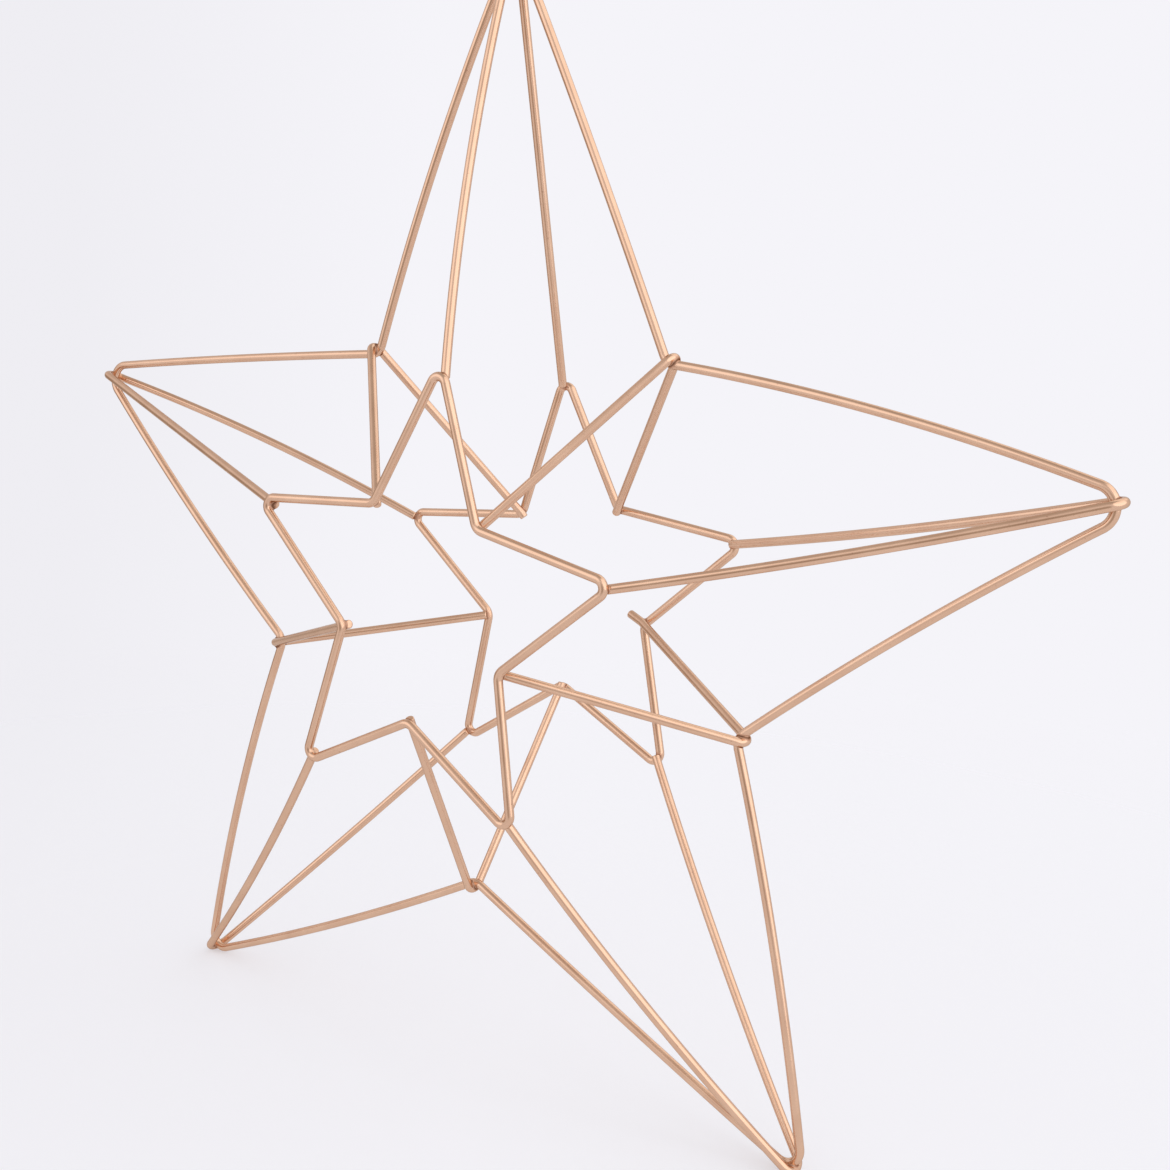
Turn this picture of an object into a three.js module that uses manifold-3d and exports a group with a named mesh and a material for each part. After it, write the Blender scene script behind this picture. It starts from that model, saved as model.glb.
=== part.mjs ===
// Wire star ornament: an outline star, a smaller star in front of it and one behind it, tied together
// by ten V-shaped wires and held by small welds. Millimetres, +Z up, the front faces -Y.
import * as THREE from "three";
import { mergeVertices } from "three/addons/utils/BufferGeometryUtils.js";
import Module from "manifold-3d";

// Driving dimensions: lengths in millimetres, angles in degrees

// The wire, and the section that stands for its round
const wireDiameter = 2.5;
const sectionSides = 10;

// Stars, from the star's centre to where the straight sides of a corner would meet
const outlineTipReach = 181;
const outlineValleyReach = 85;
const innerTipReach = 64;
const innerValleyReach = 30;

// Between the planes of the front and back stars, wire centre to wire centre
const innerStarSpacing = 71;

// Bends, measured on the inside of the wire. The two tips that the star stands on are bent tighter.
const outlineTipBendInside = 4;
const outlineFootBendInside = 3;
const outlineValleyBendInside = 3;
const innerTipBendInside = 1.2;
const innerValleyBendInside = 2;
const degreesPerBendStep = 18;

// Hairpins: the side room between a hairpin's legs and the outline wire that it straddles
const ridgeSideRoom = 1;
const strutSideRoom = 0.6;

// Welds: how far a bead spreads past the wire's half width, its thickness where the two wires come
// closest, and its own room to each wire
const beadSpread = 0.35;
const beadThickness = 0.1;
const beadRoom = 0.1;
const beadDetail = 1;

// Cut leg ends: how far they run past their weld, and how far they are pressed from the leg's slope
// towards the star's plane. One leg was cut long.
const endOverhang = 1.6;
const longEndOverhang = 5.5;
const endSet = 14;
const longEnd = { corner: "lower_right", side: "back" };

// Degrees that each star is turned round its axis, clockwise from the front
const outlineStarTurn = 0.2;
const frontStarTurn = 3.5;
const backStarTurn = -2.7;

// Corners of the stars, clockwise from the top, tip and valley in turn. Hand bending, as photographed: for
// each star, how far the corner lies further out, how many degrees it is swung clockwise round the star's
// axis, and how far along its wire the V-shaped wire is welded, clockwise from the bend's middle.
const corners = [
  { name: "top", outline: [-1, -2, 0], front: [1.5, 1, 0.5], back: [0, -1.5, 0] },
  { name: "upper_right", outline: [1, 0.5, 1.5], front: [0.5, 0, -0.5], back: [0.5, 1, 1] },
  { name: "right", outline: [1, 3, 0], front: [0, 1, 1], back: [-0.5, 2, -0.5] },
  { name: "lower_right", outline: [-0.5, -0.5, -0.5], front: [1.5, 2.5, 0.5], back: [0, 0.5, -1.5] },
  { name: "right_foot", outline: [-3.5, -2.75, 0.5], front: [1.5, -1, 2], back: [-0.5, 1, -2] },
  { name: "bottom", outline: [0.5, 0.5, 1.5], front: [1, -3, 1], back: [1, 0.5, -1] },
  { name: "left_foot", outline: [-2, 2.75, 0], front: [-1.5, -2.5, 1], back: [1.5, -1, 0] },
  { name: "lower_left", outline: [2, 0.5, -1], front: [-3.5, -3.5, 0], back: [1, -4, -0.5] },
  { name: "left", outline: [1, -0.5, -0.5], front: [-0.5, 0.5, 0], back: [1, -1.5, 0] },
  { name: "upper_left", outline: [-3.5, 0, -0.5], front: [1, 1.5, -0.5], back: [-3.5, -3, 1] },
];

// Runs that are visibly bowed: how far the middle of a run stands aside. The outline's run past the corner
// bows outward, and the legs of the corner's V-shaped wire bow clockwise.
const bows = {
  top: { outline: 0.5, front: -2.5, back: 0 },
  upper_right: { outline: 2.5, front: 0, back: 0 },
  right: { outline: -1.5, front: 1, back: 1 },
  lower_right: { outline: 1.5, front: 0, back: 0 },
  right_foot: { outline: 0.5, front: 2.5, back: 1.5 },
  bottom: { outline: 1.5, front: 0, back: 0 },
  left_foot: { outline: 2.5, front: -2, back: -0.5 },
  lower_left: { outline: 1.5, front: 0, back: 0 },
  left: { outline: 0.5, front: 0, back: 2 },
  upper_left: { outline: 2, front: 0, back: 0 },
};
const bowSteps = 6;

// Values that follow from the driving dimensions
const wireRadius = wireDiameter / 2;
const cornerOverFlat = 1 / Math.cos(Math.PI / sectionSides);
const cornerRise = wireRadius * (cornerOverFlat - 1);
const weldRoom = beadThickness + 2 * (beadRoom + cornerRise);
const weldDistance = wireDiameter + weldRoom;
const planeOffset = innerStarSpacing / 2;
const cornerAngle = 360 / corners.length;
const topAngle = 90;
const axisY = new THREE.Vector3(0, 1, 0);

// Points of a mesh that lie closer than this are one point
const mergeTolerance = 1e-4;

const copper = new THREE.MeshStandardMaterial({ color: 0xd6a07d, roughness: 0.34, metalness: 1 });
const weldCopper = new THREE.MeshStandardMaterial({ color: 0xc98f6b, roughness: 0.5, metalness: 1 });

const wasm = await Module();
wasm.setup();

// A bent wire's centre line. It has a station, a point and a direction, at both ends of every straight
// run and along every bend and bow. Its bends lie in one plane, and two flats of the section face out of it.
class WirePath extends THREE.Curve {
  constructor(stations, planeNormal, closed) {
    super();
    this.stations = stations;
    this.planeNormal = planeNormal;
    this.closed = closed;
    this.steps = closed ? stations.length : stations.length - 1;
  }

  station(u) {
    return this.stations[Math.round(u * this.steps) % this.stations.length];
  }

  getPointAt(u, target = new THREE.Vector3()) {
    return target.copy(this.station(u).point);
  }

  getTangentAt(u, target = new THREE.Vector3()) {
    return target.copy(this.station(u).direction);
  }

  computeFrenetFrames() {
    const halfSide = Math.PI / sectionSides;
    const tangents = this.stations.map((station) => station.direction);
    const normals = tangents.map((tangent) => {
      return squareTo(this.planeNormal, tangent).applyAxisAngle(tangent, halfSide);
    });
    const binormals = tangents.map((tangent, i) => tangent.clone().cross(normals[i]));
    return { tangents, normals, binormals };
  }
}

// A direction turned from a heading towards a side that is square to it
function turned(heading, side, angle) {
  return heading.clone().multiplyScalar(Math.cos(angle)).addScaledVector(side, Math.sin(angle));
}

// The part of a vector that is square to a direction, at unit length
function squareTo(vector, direction) {
  return vector.clone().addScaledVector(direction, -vector.dot(direction)).normalize();
}

// Stations along an arc that starts at a point, heads in a direction and turns towards a side
function arcStations(start, heading, side, radius, angle) {
  const steps = Math.ceil(THREE.MathUtils.radToDeg(angle) / degreesPerBendStep);
  const centre = start.clone().addScaledVector(side, radius);
  const outward = side.clone().negate();
  const stations = [];
  for (let i = 0; i <= steps; i += 1) {
    const angleHere = (angle * i) / steps;
    stations.push({
      point: centre.clone().addScaledVector(turned(outward, heading, angleHere), radius),
      direction: turned(heading, side, angleHere),
    });
  }
  return stations;
}

// Stations of a run between two ends, which are left out. A straight run needs none, and a bowed run
// follows a parabola.
function bowStations(start, end, side, bow) {
  const steps = bow === 0 ? 1 : bowSteps;
  const run = end.clone().sub(start);
  const stations = [];
  for (let i = 1; i < steps; i += 1) {
    const share = i / steps;
    const aside = 4 * bow * share * (1 - share);
    const slope = 4 * bow * (1 - 2 * share);
    stations.push({
      point: start.clone().addScaledVector(run, share).addScaledVector(side, aside),
      direction: run.clone().addScaledVector(side, slope).normalize(),
    });
  }
  return stations;
}

// A round bend at a corner between two neighbouring corners: its stations, and a way to find the wire's
// point and direction at a distance past the bend's middle
function bend(before, corner, after, radius) {
  const heading = corner.clone().sub(before).normalize();
  const leaving = after.clone().sub(corner).normalize();
  const side = squareTo(leaving, heading);
  const angle = heading.angleTo(leaving);
  const start = corner.clone().addScaledVector(heading, -radius * Math.tan(angle / 2));
  const centre = start.clone().addScaledVector(side, radius);
  const halfLength = (radius * angle) / 2;
  function at(distance) {
    const onBend = THREE.MathUtils.clamp(distance, -halfLength, halfLength);
    const angleHere = angle / 2 + onBend / radius;
    const direction = turned(heading, side, angleHere);
    const outward = turned(side.clone().negate(), heading, angleHere);
    const point = centre.clone().addScaledVector(outward, radius);
    return { point: point.addScaledVector(direction, distance - onBend), direction };
  }
  return { stations: arcStations(start, heading, side, radius, angle), at };
}

function polar(reach, degrees, y) {
  const angle = THREE.MathUtils.degToRad(degrees);
  return new THREE.Vector3(reach * Math.cos(angle), y, reach * Math.sin(angle));
}

function isTip(cornerNumber) {
  return cornerNumber % 2 === 0;
}

function isFoot(cornerNumber) {
  return corners[cornerNumber].name.endsWith("foot");
}

// A closed star in a plane across the Y axis: its path, and where a V-shaped wire is welded at each corner
function starWire(place, { y, turn, tipReach, valleyReach, tipBendInside, footBendInside, valleyBendInside }) {
  const points = corners.map((corner, k) => {
    const [further, swing] = corner[place];
    const reach = isTip(k) ? tipReach : valleyReach;
    return polar(reach + further, topAngle - k * cornerAngle - turn - swing, y);
  });
  const bends = points.map((point, k) => {
    const before = points.at(k - 1);
    const after = points[(k + 1) % points.length];
    const tipInside = isFoot(k) ? footBendInside : tipBendInside;
    const inside = isTip(k) ? tipInside : valleyBendInside;
    return bend(before, point, after, inside + wireRadius);
  });
  const stations = bends.flatMap((each, k) => {
    const end = each.stations.at(-1);
    const next = bends[(k + 1) % bends.length].stations[0];
    const outward = end.direction.clone().cross(axisY);
    const bow = place === "outline" ? bows[corners[k].name].outline : 0;
    return [...each.stations, ...bowStations(end.point, next.point, outward, bow)];
  });
  return {
    path: new WirePath(stations, axisY, true),
    seats: bends.map((each, k) => {
      const [, , slip] = corners[k][place];
      return each.at(slip);
    }),
  };
}

const innerShape = {
  tipReach: innerTipReach,
  valleyReach: innerValleyReach,
  tipBendInside: innerTipBendInside,
  footBendInside: innerTipBendInside,
  valleyBendInside: innerValleyBendInside,
};
const stars = {
  outline: starWire("outline", {
    y: 0,
    turn: outlineStarTurn,
    tipReach: outlineTipReach,
    valleyReach: outlineValleyReach,
    tipBendInside: outlineTipBendInside,
    footBendInside: outlineFootBendInside,
    valleyBendInside: outlineValleyBendInside,
  }),
  front: starWire("front", { y: -planeOffset, turn: frontStarTurn, ...innerShape }),
  back: starWire("back", { y: planeOffset, turn: backStarTurn, ...innerShape }),
};

// One leg of a V-shaped wire: a straight that touches the hairpin's bend on its outer side and passes
// a star's wire on the other side, so that the star lies outside the V. Past the weld its end is pressed
// towards the star's plane.
function leg(hairpinCentre, hairpinRadius, starPoint, outerSide, overhang) {
  const toStar = starPoint.clone().sub(hairpinCentre);
  const distance = toStar.length();
  const along = toStar.divideScalar(distance);
  const across = squareTo(outerSide, along);
  const lean = Math.asin((hairpinRadius + weldDistance) / distance);
  const outward = turned(across, along, lean);
  const direction = turned(along, across.negate(), lean);
  const weld = starPoint.clone().addScaledVector(outward, -weldDistance);
  const inside = outward.clone().negate();
  const set = THREE.MathUtils.degToRad(endSet);
  const endDirection = turned(direction, inside, set);
  return {
    outward,
    direction,
    start: hairpinCentre.clone().addScaledVector(outward, hairpinRadius),
    bead: starPoint.clone().addScaledVector(outward, -weldDistance / 2),
    end: [
      { point: weld, direction: turned(direction, inside, set / 2) },
      { point: weld.clone().addScaledVector(endDirection, overhang), direction: endDirection },
    ],
  };
}

// The same stations walked the other way
function reversed(stations) {
  return stations.map(({ point, direction }) => ({ point, direction: direction.clone().negate() })).reverse();
}

// A V-shaped wire: its hairpin straddles the outline from outside, and its legs reach the two inner stars
function veeWire(seats, sideRoom, overhangs, legBows) {
  const [outlineSeat, { point: frontPoint }, { point: backPoint }] = seats;
  const backward = backPoint.clone().sub(frontPoint).normalize();
  const between = frontPoint.clone().add(backPoint).divideScalar(2);
  const outlineNormal = squareTo(outlineSeat.point, outlineSeat.direction);
  const apex = outlineSeat.point.clone().addScaledVector(outlineNormal, weldDistance);
  const inward = squareTo(between.sub(apex), backward);
  const hairpinRadius = wireDiameter + Math.max(sideRoom, weldRoom);
  const centre = apex.clone().addScaledVector(inward, hairpinRadius);
  const frontLeg = leg(centre, hairpinRadius, frontPoint, backward.clone().negate(), overhangs.front);
  const backLeg = leg(centre, hairpinRadius, backPoint, backward, overhangs.back);
  const hairpin = arcStations(
    frontLeg.start,
    frontLeg.direction.clone().negate(),
    frontLeg.outward.clone().negate(),
    hairpinRadius,
    frontLeg.outward.angleTo(backLeg.outward),
  );
  const clockwise = inward.clone().cross(backward);
  const stations = [
    ...reversed(frontLeg.end),
    ...bowStations(frontLeg.end[0].point, frontLeg.start, clockwise, legBows.front),
    ...hairpin,
    ...bowStations(backLeg.start, backLeg.end[0].point, clockwise, legBows.back),
    ...backLeg.end,
  ];
  return {
    path: new WirePath(stations, clockwise, false),
    beads: {
      outline: outlineSeat.point.clone().addScaledVector(outlineNormal, weldDistance / 2),
      front: frontLeg.bead,
      back: backLeg.bead,
    },
  };
}

// A wire's solid at a radius that is measured to the flats of its section
function wireGeometry(path, radius) {
  const cornerRadius = radius * cornerOverFlat;
  if (path.closed) {
    return new THREE.TubeGeometry(path, path.steps, cornerRadius, sectionSides, true);
  }
  const outline = [];
  for (let i = 0; i < sectionSides; i += 1) {
    const angle = (2 * Math.PI * i) / sectionSides;
    outline.push(new THREE.Vector2(cornerRadius * Math.cos(angle), cornerRadius * Math.sin(angle)));
  }
  const section = new THREE.Shape(outline);
  return new THREE.ExtrudeGeometry(section, { steps: path.steps, extrudePath: path, bevelEnabled: false });
}

// Booleans: a closed geometry as a solid, and a solid back as a geometry
function solidOf(geometry) {
  const bare = new THREE.BufferGeometry().setAttribute("position", geometry.getAttribute("position"));
  bare.setIndex(geometry.getIndex());
  const merged = mergeVertices(bare, mergeTolerance);
  const mesh = new wasm.Mesh({
    numProp: 3,
    vertProperties: merged.getAttribute("position").array,
    triVerts: new Uint32Array(merged.getIndex().array),
  });
  return new wasm.Manifold(mesh);
}

function geometryOf(solid) {
  const mesh = solid.getMesh();
  const geometry = new THREE.BufferGeometry();
  geometry.setAttribute("position", new THREE.BufferAttribute(mesh.vertProperties, mesh.numProp));
  geometry.setIndex(new THREE.BufferAttribute(mesh.triVerts, 1));
  geometry.computeVertexNormals();
  return geometry;
}

// A weld: a small bead between two wires, hollowed where they pass
function weldGeometry(middle, paths) {
  const bead = new THREE.IcosahedronGeometry(wireRadius + beadSpread, beadDetail);
  bead.translate(middle.x, middle.y, middle.z);
  const hollows = paths.map((path) => solidOf(wireGeometry(path, wireRadius + beadRoom)));
  return geometryOf(hollows.reduce((solid, hollow) => solid.subtract(hollow), solidOf(bead)));
}

// Assembly
const star = new THREE.Group();

function addMesh(name, geometry, material) {
  const mesh = new THREE.Mesh(geometry, material);
  mesh.name = name;
  star.add(mesh);
}

function addWire(name, path) {
  addMesh(name, wireGeometry(path, wireRadius), copper);
}

for (const [place, { path }] of Object.entries(stars)) {
  addWire(`${place}_star`, path);
}

corners.forEach((corner, k) => {
  const name = `${isTip(k) ? "ridge" : "strut"}_${corner.name}`;
  const sideRoom = isTip(k) ? ridgeSideRoom : strutSideRoom;
  const overhangs = { front: endOverhang, back: endOverhang };
  if (corner.name === longEnd.corner) overhangs[longEnd.side] = longEndOverhang;
  const seats = Object.values(stars).map((wire) => wire.seats[k]);
  const vee = veeWire(seats, sideRoom, overhangs, bows[corner.name]);
  addWire(name, vee.path);
  for (const [place, middle] of Object.entries(vee.beads)) {
    addMesh(`weld_${name}_${place}`, weldGeometry(middle, [vee.path, stars[place].path]), weldCopper);
  }
});

// The star stands on its two feet: its lowest point is at the height of the origin
star.position.z = -new THREE.Box3().setFromObject(star, true).min.z;

export default star;
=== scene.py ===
import math

import bmesh
import bpy
import numpy as np
from mathutils import Matrix, Vector


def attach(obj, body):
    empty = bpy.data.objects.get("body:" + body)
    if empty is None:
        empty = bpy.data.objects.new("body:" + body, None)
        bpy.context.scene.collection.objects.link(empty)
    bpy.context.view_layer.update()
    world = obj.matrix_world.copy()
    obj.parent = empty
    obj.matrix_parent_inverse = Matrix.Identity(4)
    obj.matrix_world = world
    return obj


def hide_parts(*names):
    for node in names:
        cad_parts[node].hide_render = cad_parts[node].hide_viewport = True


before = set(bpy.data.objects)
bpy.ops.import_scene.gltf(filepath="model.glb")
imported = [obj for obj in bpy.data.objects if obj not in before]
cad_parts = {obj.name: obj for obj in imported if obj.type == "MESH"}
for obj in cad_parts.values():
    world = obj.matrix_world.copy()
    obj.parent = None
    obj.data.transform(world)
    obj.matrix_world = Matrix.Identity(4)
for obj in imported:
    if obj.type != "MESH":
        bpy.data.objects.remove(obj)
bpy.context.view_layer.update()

# Driving dimensions
mm = 0.001

# The wire
wire_radius = 1.25 * mm
section_sides = 24
straight_step = 2 * mm
bend_step = math.radians(6)
end_rounding = 0.35 * mm
end_rings = 5

# Stars, from the star's centre to where the straight sides of a tip and of a valley would meet
outline_reaches = (181 * mm, 85 * mm)
inner_reaches = (64 * mm, 30 * mm)
inner_star_spacing = 71 * mm

# Bends at tips, feet and valleys, measured on the inside of the wire
outline_bends_inside = {"tip": 4 * mm, "foot": 3 * mm, "valley": 3 * mm}
inner_bends_inside = {"tip": 1.2 * mm, "foot": 1.2 * mm, "valley": 2 * mm}

# Hairpins: from the outline wire's side to a hairpin's leg, how far the hairpin is pressed into the wire,
# and how far the weld's melt fills the crease between them
ridge_hairpin = {"side_room": 1 * mm, "press": 0.6 * mm, "fillet": 0.8 * mm}
strut_hairpin = {"side_room": 0.2 * mm, "press": 0.8 * mm, "fillet": 1.7 * mm}

# Welds of the legs: how far a leg is pressed into a star's wire, and how far the melt fills their crease
leg_press = 0.5 * mm
leg_fillet = 0.8 * mm
odd_leg_fillets = {("ridge_left", "front"): 1.7 * mm}

# Every weld: how far the melt swells and the swell's reach, how far it is sunk into the wires elsewhere,
# how far from its middle it ends inside them and how late it tapers, and how finely it is modelled
weld_swell = 0.06 * mm
weld_reach = 1.7 * mm
weld_sink = 0.05 * mm
weld_limit = 3 * mm
weld_taper = 8
weld_spacing = 0.19 * mm

# Cut leg ends: how far they run past the middle of their weld or, below zero, stop short of it, and how far
# they are pressed towards the star's plane
plain_overhang = -0.3 * mm
odd_overhangs = {
    ("ridge_left_foot", "front"): -0.6 * mm,
    ("ridge_left", "front"): 1.1 * mm,
    ("ridge_right", "back"): -0.6 * mm,
    ("strut_upper_right", "back"): 0.3 * mm,
    ("strut_lower_right", "back"): 5.5 * mm,
    ("strut_bottom", "front"): 0.3 * mm,
    ("strut_bottom", "back"): 0.8 * mm,
    ("strut_lower_left", "front"): 0.7 * mm,
    ("strut_upper_left", "front"): -0.1 * mm,
    ("strut_upper_left", "back"): 1.6 * mm,
}
end_set = math.radians(14)

# Degrees: where the top corner lies, and how far each star is turned round its axis, clockwise from the
# front
top_angle = 90
star_turns = {"outline": 0.2, "front": 3.5, "back": -2.7}

# Corners of the stars, clockwise from the top, tip and valley in turn. Hand bending, as photographed: for
# each star, how many millimetres the corner lies further out, how many degrees it is swung clockwise round
# the star's axis, and how far along its wire the V-shaped wire is welded, clockwise from the bend's middle.
corners = [
    {"name": "top", "outline": (-1, -2, 0), "front": (1.5, 1, 0.5), "back": (0, -1.5, 0)},
    {"name": "upper_right", "outline": (1, 0.5, 1.5), "front": (0.5, 0, -0.5), "back": (0.5, 1, 1)},
    {"name": "right", "outline": (1, 3, 0), "front": (0, 1, 1), "back": (-0.5, 2, -0.5)},
    {"name": "lower_right", "outline": (-0.5, -0.5, -0.5), "front": (1.5, 2.5, 0.5), "back": (0, 0.5, -1.5)},
    {"name": "right_foot", "outline": (-3.5, -2.75, 0.5), "front": (1.5, -1, 2), "back": (-0.5, 1, -2)},
    {"name": "bottom", "outline": (0.5, 0.5, 1.5), "front": (1, -3, 1), "back": (1, 0.5, -1)},
    {"name": "left_foot", "outline": (-2, 2.75, 0), "front": (-1.5, -2.5, 1), "back": (1.5, -1, 0)},
    {"name": "lower_left", "outline": (2, 0.5, -1), "front": (-3.5, -3.5, 0), "back": (1, -4, -0.5)},
    {"name": "left", "outline": (1, -0.5, -0.5), "front": (-0.5, 0.5, 0), "back": (1, -1.5, 0)},
    {"name": "upper_left", "outline": (-3.5, 0, -0.5), "front": (1, 1.5, -0.5), "back": (-3.5, -3, 1)},
]

# Runs that are visibly bowed, by the millimetres that the middle of a run stands aside. The outline's run
# past the corner bows outward, and the legs of the corner's V-shaped wire bow clockwise.
bows = {
    "top": {"outline": 0.5, "front": -2.5, "back": 0},
    "upper_right": {"outline": 2.5, "front": 0, "back": 0},
    "right": {"outline": -1.5, "front": 1, "back": 1},
    "lower_right": {"outline": 1.5, "front": 0, "back": 0},
    "right_foot": {"outline": 0.5, "front": 2.5, "back": 1.5},
    "bottom": {"outline": 1.5, "front": 0, "back": 0},
    "left_foot": {"outline": 2.5, "front": -2, "back": -0.5},
    "lower_left": {"outline": 1.5, "front": 0, "back": 0},
    "left": {"outline": 0.5, "front": 0, "back": 2},
    "upper_left": {"outline": 2, "front": 0, "back": 0},
}

# Finish of the wires: tones of the plating, the tint of its edges, how heat reddens and dulls it beside a
# weld, and its clouds, specks and drawn lines. Scales are grains per metre, and spans are the part of a
# noise that is in use.
light_copper = (0.745, 0.49, 0.34)
dark_copper = (0.69, 0.44, 0.30)
wire_edge_tint = (0.7, 0.65, 0.6)
wire_roughness = (0.15, 0.23)
burnt_copper = (0.65, 0.38, 0.265)
burnt_roughness = 0.10
burnt_share = 0.4
heat_reach = 2.4 * mm
cloud_scale = 90
cloud_detail = 3
cloud_span = (0.35, 0.65)
speck_tone = (0.40, 0.20, 0.13)
speck_scale = 1500
speck_detail = 1
speck_span = (0.70, 0.80)
speck_share = 0.5
drawn_line_scales = (2000, 2000, 12)
drawn_line_detail = 2
drawn_line_strength = 0.15
drawn_line_depth = 0.04 * mm

# Finish of the welds: tones of the melt, the tint of its edges, dark scale with painted shade in the
# creases, and the mottle and ripples of its skin
melt_tones = ((0.58, 0.33, 0.22), (0.72, 0.44, 0.30))
melt_edge_tint = (0.3, 0.15, 0.08)
weld_roughness = (0.38, 0.55)
# Scale and painted shade: the dark tone that the melt takes deep in a crease, where shade falls
scale_and_crease_shade_tone = (0.12, 0.045, 0.02)
crease_depth = 0.3 * mm
crease_share = 0.9
mottle_scale = 800
mottle_detail = 3
ripple_scale = 1500
ripple_detail = 2
ripple_strength = 0.5
ripple_depth = 0.1 * mm

# The camera, set round the star's centre: where it stands, how it is tilted, where it aims, how wide it sees
# and how near its view begins
camera_azimuth = math.radians(33.26)
camera_elevation = math.radians(8.70)
camera_roll = math.radians(3.72)
camera_distance = 425.1 * mm
camera_aim_right = 25.77 * mm
camera_aim_up = 3.18 * mm
camera_view_angle = math.radians(42.94)
camera_clip = 10 * mm

# The studio: a white floor that glows a little and fades into the background, both shaded on the left, a
# plain fill of light, a dimmer ceiling and dim places near the camera and to its left, and windows to the
# right and left of the camera and beyond the star. Spans are distances on the floor, heights of a direction,
# or how close two directions are, up to 1.
background_colour = (0.913, 0.905, 0.947)
shade_colour = (0.862, 0.853, 0.894)
left_side = {"azimuth": camera_azimuth - math.radians(90), "elevation": 0}
background_shade = {**left_side, "span": (0.12, 0.33)}
floor_shade = {**left_side, "span": (0, 0.3)}
fill_colour = (0.70, 0.70, 0.70)
floor_glow = 0.5
floor_fade = (0.2, 0.6)
floor_sides = 96
ceiling_colour = (0.57, 0.54, 0.52)
ceiling_span = (0.5, 0.95)
dim_colour = (0.48, 0.43, 0.39)
dim_places = [
    {"azimuth": camera_azimuth - math.radians(22), "elevation": math.radians(-7), "span": (0.87, 0.985)},
    {"azimuth": camera_azimuth - math.radians(115), "elevation": math.radians(-6), "span": (0.90, 0.985)},
]
windows = [
    {
        "name": "right_window",
        "azimuth": camera_azimuth + math.radians(50),
        "elevation": math.radians(34),
        "width": math.radians(80),
        "level": 0.96,
    },
    {
        "name": "left_window",
        "azimuth": camera_azimuth - math.radians(68),
        "elevation": math.radians(24),
        "width": math.radians(50),
        "level": 0.27,
    },
    {
        "name": "far_window",
        "azimuth": camera_azimuth + math.radians(137),
        "elevation": math.radians(52),
        "width": math.radians(50),
        "level": 0.3,
    },
]

# Values that follow from the driving dimensions
wire_diameter = 2 * wire_radius
leg_distance = wire_diameter - leg_press
near_reach = 2 * weld_limit
plane_offset = inner_star_spacing / 2
corner_angle = 360 / len(corners)
axis_y = np.array([0.0, 1.0, 0.0])


def unit(vector):
    return vector / np.linalg.norm(vector)


def square_to(vector, direction):
    """The part of a vector that is square to a direction, at unit length."""
    return unit(vector - np.dot(vector, direction) * direction)


def turned(heading, side, angle):
    """A direction turned from a heading towards a side that is square to it."""
    return heading * math.cos(angle) + side * math.sin(angle)


def angle_between(a, b):
    return math.acos(np.clip(np.dot(a, b), -1, 1))


def polar(reach, degrees, y):
    """A point at a reach and an angle round the star's axis."""
    angle = math.radians(degrees)
    return np.array([reach * math.cos(angle), y, reach * math.sin(angle)])


def arc(start, heading, side, radius, angle):
    """Points along an arc that starts at a point, heads in a direction and turns towards a side."""
    steps = math.ceil(angle / bend_step)
    centre = start + side * radius
    return [centre + radius * turned(-side, heading, angle * i / steps) for i in range(steps + 1)]


def run(start, end, bow):
    """Points between two ends, which are left out. A bow moves the middle aside, along a parabola."""
    steps = math.ceil(np.linalg.norm(end - start) / straight_step)
    shares = [i / steps for i in range(1, steps)]
    return [start + (end - start) * share + bow * 4 * share * (1 - share) for share in shares]


def bend(before, corner, after, radius):
    """A round bend at a corner: its points, and a way to find the wire's point and direction at a distance
    past the bend's middle."""
    heading = unit(corner - before)
    leaving = unit(after - corner)
    side = square_to(leaving, heading)
    angle = angle_between(heading, leaving)
    start = corner - heading * radius * math.tan(angle / 2)
    centre = start + side * radius
    half_length = radius * angle / 2

    def at(distance):
        on_bend = np.clip(distance, -half_length, half_length)
        angle_here = angle / 2 + on_bend / radius
        direction = turned(heading, side, angle_here)
        point = centre + radius * turned(-side, heading, angle_here)
        return point + direction * (distance - on_bend), direction

    return arc(start, heading, side, radius, angle), at


def kind_of(k):
    """Whether a corner is a valley, a foot or another tip."""
    if k % 2 == 1:
        return "valley"
    return "foot" if corners[k]["name"].endswith("foot") else "tip"


def star_wire(place, y, reaches, bends_inside):
    """A closed star's centre line, and where a V-shaped wire is welded to it at each corner."""
    points = []
    for k, corner in enumerate(corners):
        further, swing, _ = corner[place]
        degrees = top_angle - k * corner_angle - star_turns[place] - swing
        points.append(polar(reaches[k % 2] + further * mm, degrees, y))
    bends = []
    for k, point in enumerate(points):
        after = points[(k + 1) % len(points)]
        bends.append(bend(points[k - 1], point, after, bends_inside[kind_of(k)] + wire_radius))
    line = []
    for k, (turn, _) in enumerate(bends):
        following = bends[(k + 1) % len(bends)][0]
        outward = np.cross(unit(following[0] - turn[-1]), axis_y)
        bow = bows[corners[k]["name"]]["outline"] if place == "outline" else 0
        line += [*turn, *run(turn[-1], following[0], bow * mm * outward)]
    seats = [at(corner[place][2] * mm) for corner, (_, at) in zip(corners, bends)]
    return {"points": np.array(line), "closed": True, "normal": axis_y, "seats": seats}


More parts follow.
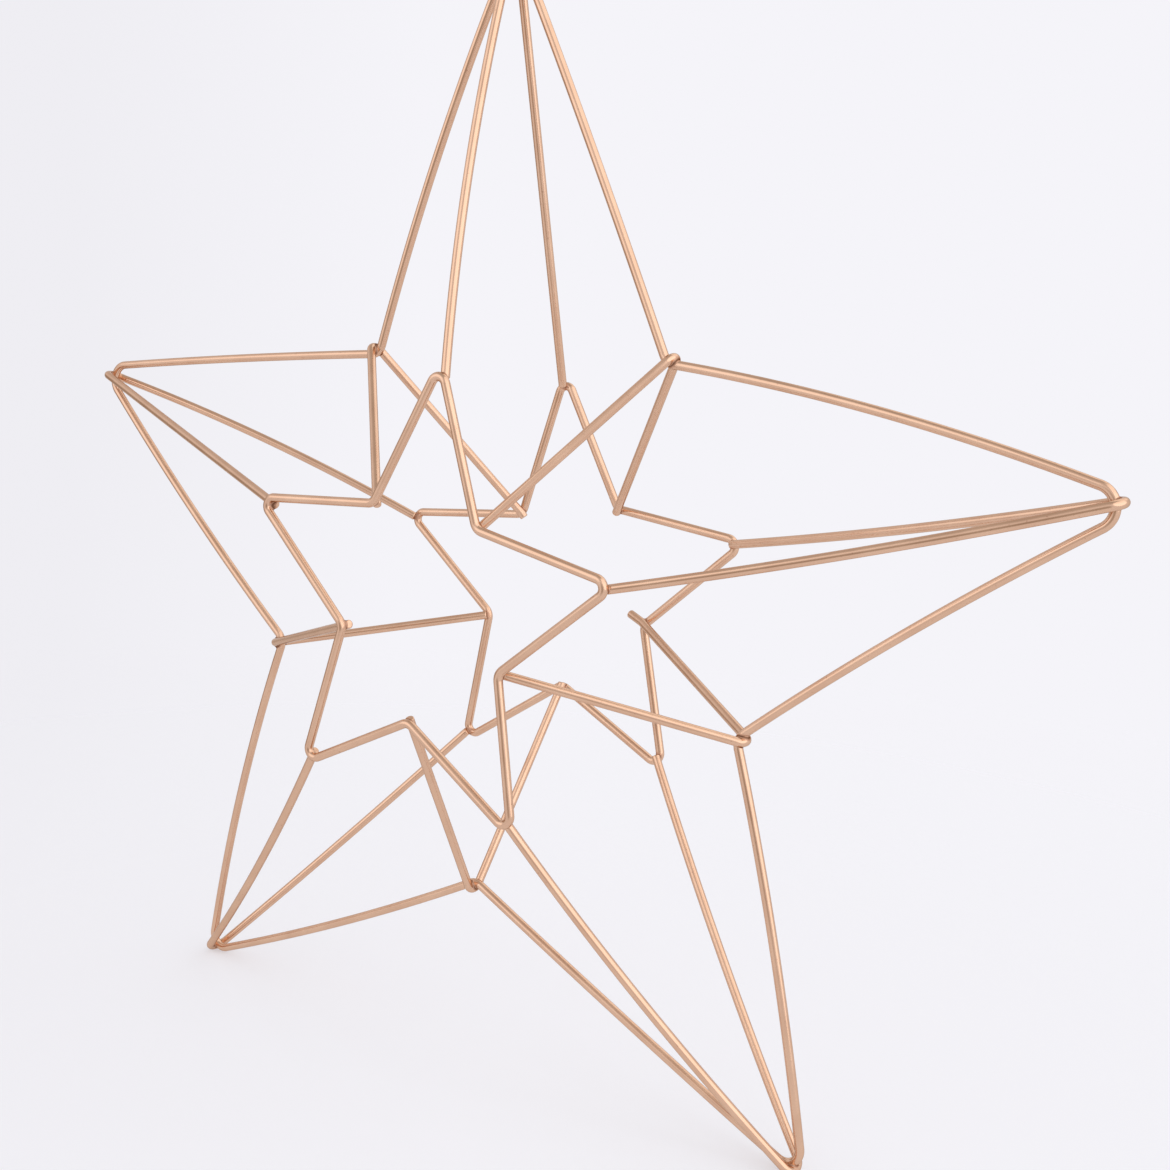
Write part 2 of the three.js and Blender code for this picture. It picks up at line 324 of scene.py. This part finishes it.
def leg(hairpin_centre, hairpin_radius, star_point, outer_side, overhang):
    """One leg of a V-shaped wire: it touches the hairpin's bend on its outer side and passes a star's wire
    on the other side. Past the weld its end is pressed towards the star's plane."""
    to_star = star_point - hairpin_centre
    along = unit(to_star)
    across = square_to(outer_side, along)
    lean = math.asin((hairpin_radius + leg_distance) / np.linalg.norm(to_star))
    outward = turned(across, along, lean)
    direction = turned(along, -across, lean)
    weld = star_point - outward * leg_distance
    past_weld = overhang - end_rounding
    stops = [weld + direction * min(past_weld, 0)]
    if past_weld > 0:
        stops.append(weld + turned(direction, -outward, end_set) * past_weld)
    return {
        "outward": outward,
        "direction": direction,
        "start": hairpin_centre + outward * hairpin_radius,
        "bead": star_point - outward * leg_distance / 2,
        "stops": stops,
    }


def vee_wire(name, seats, side_room, press, fillet, leg_bows):
    """A V-shaped wire: its hairpin straddles the outline from outside, and its legs reach the inner stars.
    Its beads are the middle of each weld, and how far the melt fills the crease there."""
    (outline_point, outline_direction), (front_point, _), (back_point, _) = seats
    backward = unit(back_point - front_point)
    outline_normal = square_to(outline_point, outline_direction)
    hairpin_distance = wire_diameter - press
    apex = outline_point + outline_normal * hairpin_distance
    inward = square_to((front_point + back_point) / 2 - apex, backward)
    normal = np.cross(inward, backward)
    hairpin_radius = wire_diameter + side_room
    centre = apex + inward * hairpin_radius
    front_overhang = odd_overhangs.get((name, "front"), plain_overhang)
    back_overhang = odd_overhangs.get((name, "back"), plain_overhang)
    front_leg = leg(centre, hairpin_radius, front_point, -backward, front_overhang)
    back_leg = leg(centre, hairpin_radius, back_point, backward, back_overhang)
    turn = angle_between(front_leg["outward"], back_leg["outward"])
    hairpin = arc(front_leg["start"], -front_leg["direction"], -front_leg["outward"], hairpin_radius, turn)
    front_bow = leg_bows["front"] * mm * normal
    back_bow = leg_bows["back"] * mm * normal
    points = [
        *reversed(front_leg["stops"]),
        *run(front_leg["stops"][0], hairpin[0], front_bow),
        *hairpin,
        *run(hairpin[-1], back_leg["stops"][0], back_bow),
        *back_leg["stops"],
    ]
    return {
        "points": np.array(points),
        "closed": False,
        "normal": normal,
        "beads": {
            "outline": (outline_point + outline_normal * hairpin_distance / 2, fillet),
            "front": (front_leg["bead"], odd_leg_fillets.get((name, "front"), leg_fillet)),
            "back": (back_leg["bead"], odd_leg_fillets.get((name, "back"), leg_fillet)),
        },
    }


def star_wires():
    """Every wire by its node's name."""
    wires = {
        "outline_star": star_wire("outline", 0, outline_reaches, outline_bends_inside),
        "front_star": star_wire("front", -plane_offset, inner_reaches, inner_bends_inside),
        "back_star": star_wire("back", plane_offset, inner_reaches, inner_bends_inside),
    }
    stars = list(wires.values())
    for k, corner in enumerate(corners):
        seats = [star["seats"][k] for star in stars]
        leg_bows = bows[corner["name"]]
        if k % 2 == 0:
            name = f"ridge_{corner['name']}"
            wires[name] = vee_wire(name, seats, **ridge_hairpin, leg_bows=leg_bows)
        else:
            name = f"strut_{corner['name']}"
            wires[name] = vee_wire(name, seats, **strut_hairpin, leg_bows=leg_bows)
    return wires


def tangents_of(points, closed):
    """The wire's direction at each point."""
    if closed:
        steps = np.roll(points, -1, axis=0) - np.roll(points, 1, axis=0)
    else:
        steps = np.gradient(points, axis=0)
    return steps / np.linalg.norm(steps, axis=1)[:, None]


def tube_rings(points, closed):
    """Centres, tangents and radii of a wire's rings. A cut end is rounded off over a few extra rings."""
    tangents = tangents_of(points, closed)
    radii = np.full(len(points), wire_radius)
    if closed:
        return points, tangents, radii
    angles = np.linspace(0, math.pi / 2, end_rings + 1)[1:]
    shrunk = wire_radius - end_rounding * (1 - np.cos(angles))
    reach = end_rounding * np.sin(angles)[:, None]
    head = points[0] - tangents[0] * reach
    tail = points[-1] + tangents[-1] * reach
    centres = np.concatenate([head[::-1], points, tail])
    first = np.repeat(tangents[:1], end_rings, axis=0)
    last = np.repeat(tangents[-1:], end_rings, axis=0)
    directions = np.concatenate([first, tangents, last])
    return centres, directions, np.concatenate([shrunk[::-1], radii, shrunk])


def mesh_object(name, vertices, faces):
    """A smooth mesh, lifted from the star's centre to where the star stands."""
    mesh = bpy.data.meshes.new(name)
    mesh.from_pydata([tuple(v) for v in vertices + (0, 0, star_height)], [], faces)
    mesh.polygons.foreach_set("use_smooth", [True] * len(mesh.polygons))
    piece = bpy.data.objects.new(name, mesh)
    bpy.context.scene.collection.objects.link(piece)
    return piece


def set_values(piece, name, values):
    """An attribute with a value for each point of a piece."""
    layer = piece.data.attributes.new(name, "FLOAT", "POINT")
    layer.data.foreach_set("value", values.astype(np.float32))


def wire_piece(name, wire, weld_points):
    """A round wire along its centre line, with two attributes for its finish: the place of each face's
    corner on the straightened wire, and the heat that each point got from the nearest weld."""
    centres, tangents, radii = tube_rings(wire["points"], wire["closed"])
    count = len(centres)
    sides = np.cross(wire["normal"], tangents)
    sides /= np.linalg.norm(sides, axis=1)[:, None]
    ups = np.cross(tangents, sides)
    angles = np.arange(section_sides) * 2 * math.pi / section_sides
    spokes = np.cos(angles)[None, :, None] * sides[:, None] + np.sin(angles)[None, :, None] * ups[:, None]
    vertices = (centres[:, None] + spokes * radii[:, None, None]).reshape(-1, 3)
    faces = []
    corner_rings = []
    spans = count if wire["closed"] else count - 1
    for i in range(spans):
        low = i * section_sides
        high = (i + 1) % count * section_sides
        for j in range(section_sides):
            after = (j + 1) % section_sides
            faces.append((low + j, low + after, high + after, high + j))
            corner_rings += [i, i, i + 1, i + 1]
    if not wire["closed"]:
        faces.append(tuple(range(section_sides))[::-1])
        faces.append(tuple((count - 1) * section_sides + j for j in range(section_sides)))
        corner_rings += [0] * section_sides + [count - 1] * section_sides
    piece = mesh_object(f"{name}_wire", vertices, faces)

    loop = np.vstack([centres, centres[:1]])
    lengths = np.concatenate([[0], np.cumsum(np.linalg.norm(np.diff(loop, axis=0), axis=1))])
    corner_vertices = np.zeros(len(piece.data.loops), int)
    piece.data.loops.foreach_get("vertex_index", corner_vertices)
    round_angles = angles[corner_vertices % section_sides]
    straightened = np.stack([
        wire_radius * np.cos(round_angles),
        wire_radius * np.sin(round_angles),
        lengths[np.array(corner_rings)],
    ], axis=1)
    places = piece.data.attributes.new("straightened", "FLOAT_VECTOR", "CORNER")
    places.data.foreach_set("vector", straightened.astype(np.float32).ravel())
    gaps = np.linalg.norm(vertices[:, None] - np.array(weld_points)[None], axis=2).min(axis=1)
    set_values(piece, "heat", np.exp(-((gaps / heat_reach) ** 2)))
    return piece


def distance_to(points, centre_line):
    """Distance from each point to the nearest place on a wire's centre line."""
    nearest = np.full(len(points), np.inf)
    for start, end in zip(centre_line[:-1], centre_line[1:]):
        along = end - start
        share = np.clip((points - start) @ along / (along @ along), 0, 1)
        gap = np.linalg.norm(points - start - share[:, None] * along, axis=1)
        nearest = np.minimum(nearest, gap)
    return nearest


def near_line(wire, middle):
    """The stretch of a wire's centre line around a weld, run on past a cut end, and the cut: its middle and
    the way that it faces."""
    points = wire["points"]
    if wire["closed"]:
        nearest = np.linalg.norm(points - middle, axis=1).argmin()
        points = np.roll(points, len(points) // 2 - nearest, axis=0)
    close = np.flatnonzero(np.linalg.norm(points - middle, axis=1) < near_reach)
    line = points[max(close[0] - 1, 0): close[-1] + 2]
    has_end = close[0] == 0 or close[-1] == len(points) - 1
    if wire["closed"] or not has_end:
        return line, None
    if close[0] == 0:
        line = line[::-1]
    facing = unit(line[-1] - line[-2])
    return np.vstack([line, line[-1] + facing * near_reach]), (line[-1] + facing * end_rounding, facing)


def skin_of(field):
    """A closed skin where a field on a grid passes through zero, in grid steps: a vertex in each cell that
    the skin passes through, and a face round each of the grid's edges that it crosses."""
    cells = np.array(field.shape) - 1
    sums = np.zeros((*cells, 3))
    counts = np.zeros(cells)
    crossings = []
    for axis in range(3):
        first, second = (axis + 1) % 3, (axis + 2) % 3
        low = field.swapaxes(0, axis)[:-1].swapaxes(0, axis)
        high = field.swapaxes(0, axis)[1:].swapaxes(0, axis)
        crossed = (low < 0) != (high < 0)
        share = np.where(crossed, low / np.where(crossed, low - high, 1), 0)
        crossings.append((first, second, crossed, low < 0))
        for first_step, second_step in ((0, 0), (0, 1), (1, 0), (1, 1)):
            block = [slice(None)] * 3
            block[first] = slice(first_step, first_step + cells[first])
            block[second] = slice(second_step, second_step + cells[second])
            here = crossed[tuple(block)]
            sums[..., axis] += share[tuple(block)]
            sums[..., first] += here * first_step
            sums[..., second] += here * second_step
            counts += here
    used = np.argwhere(counts > 0)
    numbers = np.zeros(cells, int)
    numbers[tuple(used.T)] = np.arange(len(used))
    vertices = used + sums[tuple(used.T)] / counts[tuple(used.T)][:, None]
    faces = []
    for first, second, crossed, outward in crossings:
        edges = np.argwhere(crossed)
        ring = []
        for first_step, second_step in ((0, 0), (1, 0), (1, 1), (0, 1)):
            cell = edges.copy()
            cell[:, first] -= first_step
            cell[:, second] -= second_step
            ring.append(numbers[tuple(cell.T)])
        ring = np.stack(ring, axis=1)
        facing = outward[tuple(edges.T)]
        faces += ring[facing].tolist() + ring[~facing][:, ::-1].tolist()
    return vertices, faces


def weld_piece(name, middle, pair, fillet):
    """The melt between a pair of wires: a closed skin that fills their crease and swells a little, and lies
    just under the wires' own skin elsewhere. An attribute tells how deep in the crease each point lies."""
    lines = [near_line(wire, middle) for wire in pair]

    def wire_gaps(points):
        """How far each point lies outside each wire, whose cut end has a rounded rim."""
        gaps = []
        for line, cut in lines:
            gap = distance_to(points, line) - wire_radius
            if cut is not None:
                cut_middle, facing = cut
                beyond = (points - cut_middle) @ facing
                past_rim = np.maximum([gap + end_rounding, beyond + end_rounding], 0)
                within = np.minimum(np.maximum(gap, beyond) + end_rounding, 0)
                gap = np.hypot(*past_rim) + within - end_rounding
            gaps.append(gap)
        return gaps

    def melt(points):
        """How far each point lies outside the melt, which joins the two wires smoothly."""
        first, second = wire_gaps(points)
        share = np.clip(0.5 + 0.5 * (second - first) / fillet, 0, 1)
        joined = second + (first - second) * share - fillet * share * (1 - share)
        from_middle = np.linalg.norm(points - middle, axis=1)
        swell = weld_swell * np.exp(-((from_middle / weld_reach) ** 2))
        taper = wire_radius * (from_middle / weld_limit) ** weld_taper
        return joined - swell + weld_sink + taper

    steps = math.ceil(weld_limit / weld_spacing) + 1
    ticks = np.arange(-steps, steps + 1) * weld_spacing
    grid = np.stack(np.meshgrid(ticks, ticks, ticks, indexing="ij"), axis=-1)
    field = melt(middle + grid.reshape(-1, 3)).reshape(grid.shape[:3])
    places, faces = skin_of(field)
    vertices = middle + (places - steps) * weld_spacing
    piece = mesh_object(f"{name}_melt", vertices, faces)
    proud = np.minimum(*wire_gaps(vertices))
    set_values(piece, "crease", np.clip(proud / crease_depth, 0, 1))
    return piece


# Materials

def feed(tree, socket, value):
    """Link a socket to a node's output, or set it to a plain value."""
    if isinstance(value, bpy.types.NodeSocket):
        tree.links.new(value, socket)
    else:
        socket.default_value = value


def noise(tree, place, detail, scale=1):
    node = tree.nodes.new("ShaderNodeTexNoise")
    feed(tree, node.inputs["Vector"], place)
    node.inputs["Scale"].default_value = scale
    node.inputs["Detail"].default_value = detail
    return node.outputs["Fac"]


def remap(tree, value, span, new_span):
    """A value's span mapped to a new span, and held at its ends."""
    node = tree.nodes.new("ShaderNodeMapRange")
    feed(tree, node.inputs["Value"], value)
    for socket, end in zip(("From Min", "From Max", "To Min", "To Max"), (*span, *new_span)):
        node.inputs[socket].default_value = end
    return node.outputs["Result"]


def blend(tree, share, first, second):
    """A colour between two colours, which are nodes' outputs or red, green and blue."""
    node = tree.nodes.new("ShaderNodeMix")
    node.data_type = "RGBA"
    feed(tree, node.inputs["Factor"], share)
    for socket, colour in (("A", first), ("B", second)):
        feed(tree, node.inputs[socket], (*colour, 1) if isinstance(colour, tuple) else colour)
    return node.outputs["Result"]


def attribute(tree, name, output):
    node = tree.nodes.new("ShaderNodeAttribute")
    node.attribute_name = name
    return node.outputs[output]


def bump(tree, height, strength, distance):
    node = tree.nodes.new("ShaderNodeBump")
    feed(tree, node.inputs["Height"], height)
    node.inputs["Strength"].default_value = strength
    node.inputs["Distance"].default_value = distance
    return node.outputs["Normal"]


def metal(name, tint):
    """A new material for bare metal with a tint at its edges, its node tree and its shader."""
    material = bpy.data.materials.new(name)
    material.use_nodes = True
    shader = material.node_tree.nodes["Principled BSDF"]
    shader.inputs["Metallic"].default_value = 1
    shader.inputs["Specular Tint"].default_value = (*tint, 1)
    return material, material.node_tree, shader


def wire_material():
    """Satin copper plating: cloudy tones, fine specks, lines drawn along the wire, and redder, duller metal
    beside a weld."""
    material, tree, shader = metal("copper_wire", wire_edge_tint)
    place = tree.nodes.new("ShaderNodeTexCoord").outputs["Object"]
    clouds = noise(tree, place, cloud_detail, cloud_scale)
    grains = noise(tree, place, speck_detail, speck_scale)
    specks = remap(tree, grains, speck_span, (0, speck_share))
    heat = attribute(tree, "heat", "Fac")
    burnt = remap(tree, heat, (0, 1), (0, burnt_share))

    tone = blend(tree, remap(tree, clouds, cloud_span, (0, 1)), dark_copper, light_copper)
    tone = blend(tree, specks, tone, speck_tone)
    tone = blend(tree, burnt, tone, burnt_copper)
    feed(tree, shader.inputs["Base Color"], tone)

    rough = tree.nodes.new("ShaderNodeMath")
    rough.operation = "ADD"
    feed(tree, rough.inputs[0], remap(tree, clouds, cloud_span, wire_roughness))
    feed(tree, rough.inputs[1], remap(tree, heat, (0, 1), (0, burnt_roughness)))
    feed(tree, shader.inputs["Roughness"], rough.outputs["Value"])

    stretched = tree.nodes.new("ShaderNodeVectorMath")
    stretched.operation = "MULTIPLY"
    feed(tree, stretched.inputs[0], attribute(tree, "straightened", "Vector"))
    stretched.inputs[1].default_value = drawn_line_scales
    lines = noise(tree, stretched.outputs["Vector"], drawn_line_detail)
    feed(tree, shader.inputs["Normal"], bump(tree, lines, drawn_line_strength, drawn_line_depth))
    return material


def weld_material():
    """The copper of a weld: redder, mottled and rippled, and darkened deep in the crease by scale and
    painted shade.
    """
    material, tree, shader = metal("weld", melt_edge_tint)
    place = tree.nodes.new("ShaderNodeTexCoord").outputs["Object"]
    mottle = remap(tree, noise(tree, place, mottle_detail, mottle_scale), cloud_span, (0, 1))
    tone = blend(tree, mottle, *melt_tones)
    # Painted shade with scale: the melt darkens deep in the crease, where shade falls between the wires
    scale_and_shade_share = remap(tree, attribute(tree, "crease", "Fac"), (0, 1), (0, crease_share))
    feed(tree, shader.inputs["Base Color"], blend(tree, scale_and_shade_share, tone, scale_and_crease_shade_tone))
    feed(tree, shader.inputs["Roughness"], remap(tree, mottle, (0, 1), weld_roughness))
    ripple = noise(tree, place, ripple_detail, ripple_scale)
    feed(tree, shader.inputs["Normal"], bump(tree, ripple, ripple_strength, ripple_depth))
    return material


# The pieces

def finish_piece(piece, node, material):
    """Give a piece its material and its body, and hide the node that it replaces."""
    piece.data.materials.append(material)
    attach(piece, "root")
    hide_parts(node)


wires = star_wires()
welds = []
for name, wire in wires.items():
    for place, (middle, fillet) in wire.get("beads", {}).items():
        welds.append((f"weld_{name}_{place}", middle, (name, f"{place}_star"), fillet))

# The star stands on its feet
star_height = wire_radius - min(wire["points"][:, 2].min() for wire in wires.values())

copper = wire_material()
for name, wire in wires.items():
    weld_points = [middle for _, middle, joined, _ in welds if name in joined]
    finish_piece(wire_piece(name, wire, weld_points), name, copper)
weld_copper = weld_material()
for node, middle, joined, fillet in welds:
    piece = weld_piece(node, middle, [wires[name] for name in joined], fillet)
    finish_piece(piece, node, weld_copper)


# Camera, floor, light and background

def away_from_star(azimuth, elevation):
    """The direction from the star to where something stands round it."""
    return Vector((
        math.sin(azimuth) * math.cos(elevation),
        -math.cos(azimuth) * math.cos(elevation),
        math.sin(elevation),
    ))


def add_camera():
    """The camera, tilted a little and aimed beside the star's centre."""
    forward = -away_from_star(camera_azimuth, camera_elevation)
    level_right = Vector((math.cos(camera_azimuth), math.sin(camera_azimuth), 0))
    level_up = level_right.cross(forward)
    right = level_right * math.cos(camera_roll) + level_up * math.sin(camera_roll)
    up = level_up * math.cos(camera_roll) - level_right * math.sin(camera_roll)
    star_centre = Vector((0, 0, star_height))
    place = star_centre + right * camera_aim_right + up * camera_aim_up - forward * camera_distance
    lens = bpy.data.cameras.new("camera")
    lens.sensor_fit = "HORIZONTAL"
    lens.angle = camera_view_angle
    lens.clip_start = camera_clip
    camera = bpy.data.objects.new("camera", lens)
    turn = Matrix((right, up, -forward)).transposed()
    camera.matrix_world = Matrix.Translation(place) @ turn.to_4x4()
    bpy.context.scene.collection.objects.link(camera)
    bpy.context.scene.camera = camera


def seen_by(tree, *kinds):
    """1 where a ray is of one of these kinds, and 0 elsewhere."""
    path = tree.nodes.new("ShaderNodeLightPath")
    share = path.outputs[kinds[0]]
    for kind in kinds[1:]:
        most = tree.nodes.new("ShaderNodeMath")
        most.operation = "MAXIMUM"
        feed(tree, most.inputs[0], share)
        feed(tree, most.inputs[1], path.outputs[kind])
        share = most.outputs["Value"]
    return share


def blend_shaders(tree, share, first, second):
    node = tree.nodes.new("ShaderNodeMixShader")
    feed(tree, node.inputs["Fac"], share)
    feed(tree, node.inputs[1], first)
    feed(tree, node.inputs[2], second)
    return node.outputs["Shader"]


def share_towards(tree, vector, place):
    """How far a direction or a point lies towards a place round the star: 0 to 1 over the place's span."""
    closeness = tree.nodes.new("ShaderNodeVectorMath")
    closeness.operation = "DOT_PRODUCT"
    feed(tree, closeness.inputs[0], vector)
    closeness.inputs[1].default_value = away_from_star(place["azimuth"], place["elevation"])
    return remap(tree, closeness.outputs["Value"], place["span"], (0, 1))


def add_floor():
    """A matt white disc that glows a little, keeps a faint shadow and fades into the background."""
    material = bpy.data.materials.new("floor")
    material.use_nodes = True
    tree = material.node_tree
    place = tree.nodes.new("ShaderNodeTexCoord").outputs["Object"]
    colour = blend(tree, share_towards(tree, place, floor_shade), background_colour, shade_colour)
    shader = tree.nodes["Principled BSDF"]
    feed(tree, shader.inputs["Base Color"], colour)
    shader.inputs["Roughness"].default_value = 1
    shader.inputs["Specular IOR Level"].default_value = 0
    glow = tree.nodes.new("ShaderNodeEmission")
    feed(tree, glow.inputs["Color"], colour)
    seen = seen_by(tree, "Is Camera Ray", "Is Glossy Ray", "Is Transmission Ray")
    glow_share = remap(tree, seen, (0, 1), (0, floor_glow))
    lit = blend_shaders(tree, glow_share, shader.outputs["BSDF"], glow.outputs["Emission"])
    length = tree.nodes.new("ShaderNodeVectorMath")
    length.operation = "LENGTH"
    feed(tree, length.inputs[0], place)
    fade = remap(tree, length.outputs["Value"], floor_fade, (0, 1))
    clear = tree.nodes.new("ShaderNodeBsdfTransparent").outputs["BSDF"]
    feed(tree, tree.nodes["Material Output"].inputs["Surface"], blend_shaders(tree, fade, lit, clear))

    shape = bmesh.new()
    bmesh.ops.create_circle(shape, cap_ends=True, segments=floor_sides, radius=floor_fade[1])
    mesh = bpy.data.meshes.new("floor")
    shape.to_mesh(mesh)
    shape.free()
    mesh.materials.append(material)
    floor = bpy.data.objects.new("floor", mesh)
    bpy.context.scene.collection.objects.link(floor)


def add_world():
    """The background, as the camera and the metal see it, and a plain fill for everything else. The camera
    sees its shaded side, and the metal sees the dimmer ceiling and the dim places."""
    world = bpy.data.worlds.new("studio")
    bpy.context.scene.world = world
    world.use_nodes = True
    tree = world.node_tree
    direction = tree.nodes.new("ShaderNodeTexCoord").outputs["Generated"]
    height = tree.nodes.new("ShaderNodeSeparateXYZ")
    feed(tree, height.inputs["Vector"], direction)
    above = remap(tree, height.outputs["Z"], ceiling_span, (0, 1))
    reflected = blend(tree, above, background_colour, ceiling_colour)
    for place in dim_places:
        reflected = blend(tree, share_towards(tree, direction, place), reflected, dim_colour)
    unseen = blend(tree, seen_by(tree, "Is Glossy Ray"), fill_colour, reflected)
    shaded = blend(tree, share_towards(tree, direction, background_shade), background_colour, shade_colour)
    colour = blend(tree, seen_by(tree, "Is Camera Ray", "Is Transmission Ray"), unseen, shaded)
    feed(tree, tree.nodes["Background"].inputs["Color"], colour)


def add_window(name, azimuth, elevation, width, level):
    """A wide, soft light far away, by the light that it gives to a surface that faces it."""
    light = bpy.data.lights.new(name, "SUN")
    light.angle = width
    light.energy = level
    lamp = bpy.data.objects.new(name, light)
    lamp.rotation_euler = away_from_star(azimuth, elevation).to_track_quat("Z", "Y").to_euler()
    bpy.context.scene.collection.objects.link(lamp)


add_camera()
add_floor()
add_world()
for window in windows:
    add_window(**window)

bpy.context.scene.view_settings.view_transform = "Standard"
